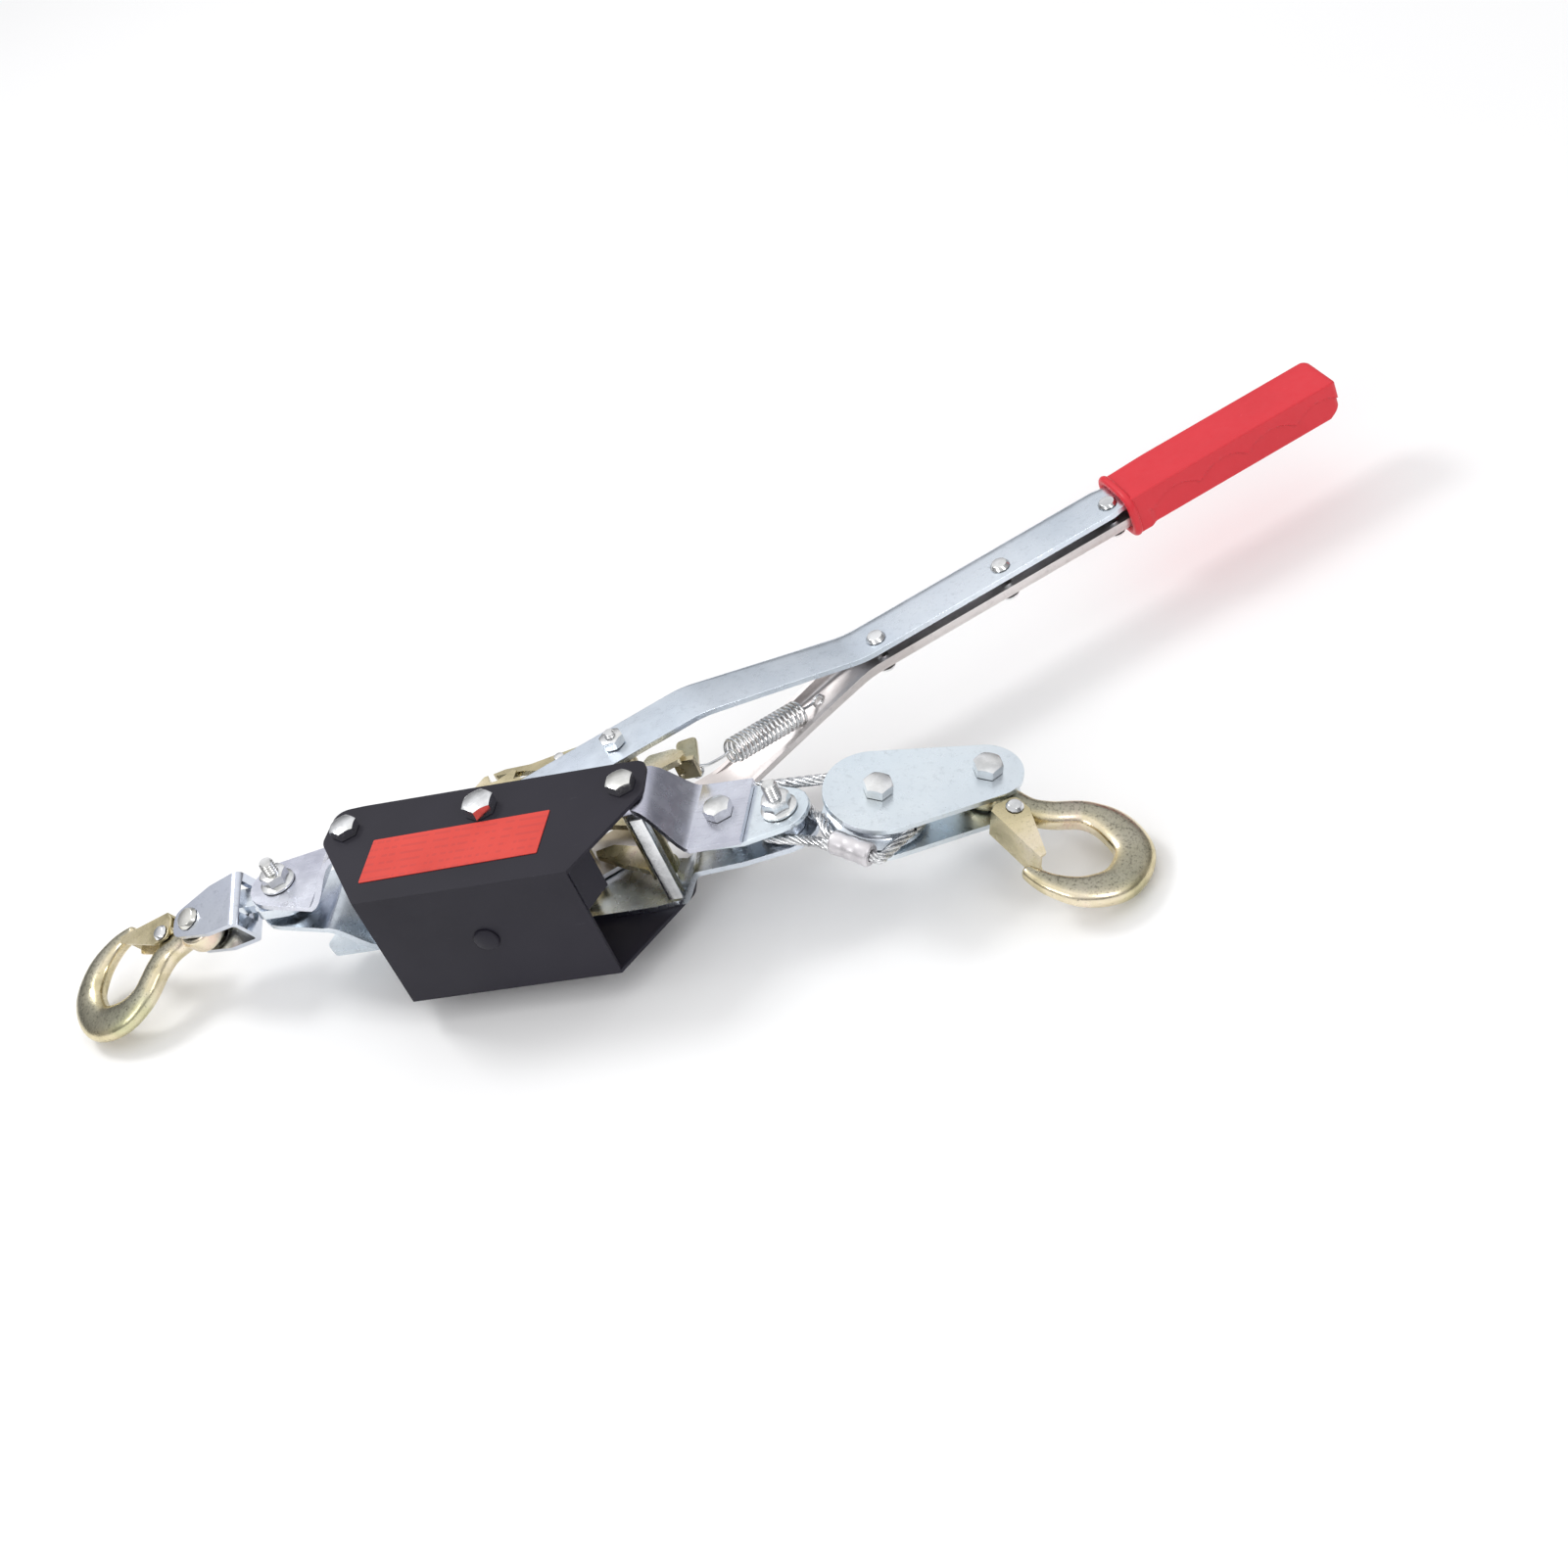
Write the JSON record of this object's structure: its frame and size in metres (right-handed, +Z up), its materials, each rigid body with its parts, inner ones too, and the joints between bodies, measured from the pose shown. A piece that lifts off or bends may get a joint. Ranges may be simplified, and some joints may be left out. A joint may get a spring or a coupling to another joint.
{
  "type": "come along winch",
  "caption": "Hand ratchet cable puller: cable drum between bent side plates, forked lever with ribbed grip, guard cover, sheave block on doubled cable and latched hooks at both ends.",
  "frame": {"origin": "centre of the axle bolt's lower end", "axes": "+X along the pull line from the drum to the sheave block, +Y to the lever's side, +Z up the drum axle"},
  "size_m": [0.6921, 0.3314, 0.0965],
  "materials": {
    "zinc_plate": "blue zinc plated",
    "bright_zinc": "bright zinc plated",
    "yellow_zinc": "yellow zinc plated",
    "black_paint": "satin",
    "label_red": "printed film",
    "grip_red": "moulded",
    "rope_steel": "galvanised strands",
    "ferrule_metal": "pressed"
  },
  "bodies": {
    "frame": {"side_plate_upper": "zinc_plate", "side_plate_lower": "zinc_plate", "neck_link_plate": "zinc_plate", "cover": "black_paint", "cover_rivet": "black_paint", "label": "label_red", "axle_bolt": "bright_zinc", "axle_nut": "bright_zinc", "cover_tail_bolt": "bright_zinc", "cover_tail_nut": "bright_zinc", "pawl_pivot_bolt": "bright_zinc", "pawl_pivot_nut": "bright_zinc", "tail_spacer": "zinc_plate", "tie_plate": "zinc_plate", "strap_bolt": "bright_zinc", "strap_nut": "bright_zinc", "tail_tab": "zinc_plate", "anchor_bolt": "bright_zinc", "anchor_nut": "bright_zinc", "anchor_thimble": "zinc_plate", "tail_bolt": "bright_zinc", "tail_nut": "bright_zinc", "ferrule": "ferrule_metal", "cable_anchor_loop": "rope_steel", "cable_return": "rope_steel", "cable_run": "rope_steel"},
    "drum": {"cable_drum": "zinc_plate", "wound_cable": "rope_steel", "ratchet_wheel_upper": "yellow_zinc", "ratchet_wheel_lower": "yellow_zinc"},
    "lever": {"lever_arm_near": "zinc_plate", "lever_arm_far": "zinc_plate", "lever_rivet_1": "bright_zinc", "lever_rivet_2": "bright_zinc", "lever_rivet_3": "bright_zinc", "grip": "grip_red", "drive_pawl_bolt": "bright_zinc", "drive_pawl_nut": "bright_zinc", "pawl_spring": "bright_zinc"},
    "drive_pawl": {"drive_pawl": "yellow_zinc", "drive_pawl_rivet": "bright_zinc"},
    "holding_pawl": {"holding_pawl": "yellow_zinc"},
    "block": {"block_plate_near": "zinc_plate", "block_plate_far": "zinc_plate", "sheave_bolt": "bright_zinc", "sheave_bolt_nut": "bright_zinc", "hook_bolt": "bright_zinc", "hook_bolt_nut": "bright_zinc", "hook_bush": "zinc_plate", "cable_on_sheave": "rope_steel"},
    "sheave": {"sheave": "zinc_plate"},
    "block_hook": {"block_hook": "yellow_zinc", "block_latch_rivet": "bright_zinc"},
    "block_latch": {"block_latch": "yellow_zinc"},
    "tail_link": {"tail_link": "zinc_plate"},
    "clevis": {"clevis": "zinc_plate", "clevis_pin": "bright_zinc"},
    "anchor_hook": {"anchor_hook": "yellow_zinc", "anchor_latch_rivet": "bright_zinc"},
    "anchor_latch": {"anchor_latch": "yellow_zinc"}
  },
  "joints": [
    {"name": "lever_swing", "type": "hinge", "parent": "frame", "child": "lever", "pos_m": [0, 0, 0.04845], "axis": [0, 0, 1], "range_deg": [-4, 100], "deforming": ["pawl_spring"]},
    {"name": "drum_spin", "type": "hinge", "parent": "frame", "child": "drum", "pos_m": [0, 0, 0.04845], "axis": [0, 0, 1], "range_deg": [-5760, 0]},
    {"name": "drive_pawl_lift", "type": "hinge", "parent": "lever", "child": "drive_pawl", "pos_m": [0.06122, 0.03976, 0.04845], "axis": [0, 0, 1], "range_deg": [-22, 0], "stiffness_Nm_per_rad": 0.02, "springref_deg": 11.46},
    {"name": "holding_pawl_lift", "type": "hinge", "parent": "frame", "child": "holding_pawl", "pos_m": [0.076, 0, 0.04845], "axis": [0, 0, 1], "range_deg": [-14, 0], "stiffness_Nm_per_rad": 0.02, "springref_deg": 11.46, "deforming": ["pawl_spring"]},
    {"name": "block_travel", "type": "slide", "parent": "frame", "child": "block", "axis": [1, 0, 0], "range_m": [0, 1.16], "deforming": ["cable_run", "cable_return"]},
    {"name": "sheave_spin", "type": "hinge", "parent": "block", "child": "sheave", "pos_m": [0.1944, 0, 0.04645], "axis": [0.343, -0.022, 0.9391], "range_deg": [-2930, 0]},
    {"name": "block_hook_swing", "type": "hinge", "parent": "block", "child": "block_hook", "pos_m": [0.24188, 0.02077, 0.02959], "axis": [0.343, -0.022, 0.9391], "range_deg": [-12, 140]},
    {"name": "block_latch_open", "type": "hinge", "parent": "block_hook", "child": "block_latch", "pos_m": [0.2556, 0.00102, 0.02412], "axis": [0.343, -0.022, 0.9391], "range_deg": [0, 38], "stiffness_Nm_per_rad": 0.02, "springref_deg": -17.19},
    {"name": "tail_link_swing", "type": "hinge", "parent": "frame", "child": "tail_link", "pos_m": [-0.129, 0, 0.04845], "axis": [0, 0, 1], "range_deg": [-35, 35]},
    {"name": "clevis_tilt", "type": "hinge", "parent": "tail_link", "child": "clevis", "pos_m": [-0.152, -0.001, 0.04645], "axis": [0, 1, 0], "range_deg": [-2.5, 8]},
    {"name": "anchor_hook_swing", "type": "hinge", "parent": "clevis", "child": "anchor_hook", "pos_m": [-0.18456, -0.00172, 0.03668], "axis": [-0.2703, -0.2803, 0.9211], "range_deg": [-60, 55]},
    {"name": "anchor_latch_open", "type": "hinge", "parent": "anchor_hook", "child": "anchor_latch", "pos_m": [-0.2083, 0.00009, 0.03026], "axis": [-0.2703, -0.2803, 0.9211], "range_deg": [0, 38], "stiffness_Nm_per_rad": 0.02, "springref_deg": -17.19}
  ],
  "couplings": [
    {"joint": "block_travel", "follows": "drum_spin", "m_per_rad": -0.0115},
    {"joint": "sheave_spin", "follows": "drum_spin", "ratio": 0.508}
  ]
}
